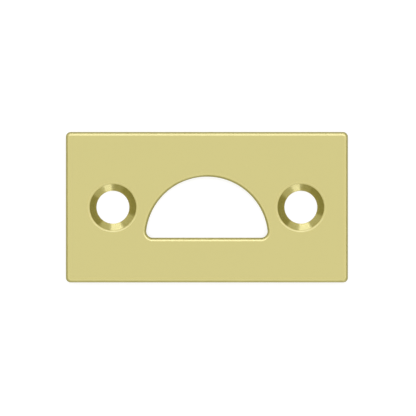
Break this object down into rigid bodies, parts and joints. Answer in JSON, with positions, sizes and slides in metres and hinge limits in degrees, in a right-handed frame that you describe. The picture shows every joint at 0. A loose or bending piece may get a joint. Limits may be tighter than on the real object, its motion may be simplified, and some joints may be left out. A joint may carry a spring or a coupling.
{
  "type": "door strike plate",
  "caption": "Flat rectangular brass strike plate with a D-shaped opening for a door bolt, a countersunk screw hole at each end and softly rounded front edges.",
  "frame": {"origin": "centre of the back face, which lies against the door frame", "axes": "+X along the plate's length, +Y across it towards the crown of the D-shaped opening, +Z out of the front face"},
  "size_m": [0.06, 0.032, 0.002],
  "materials": {
    "brass": "satin brass under clear lacquer"
  },
  "bodies": {
    "root": {"strike_plate": "brass"}
  },
  "joints": []
}
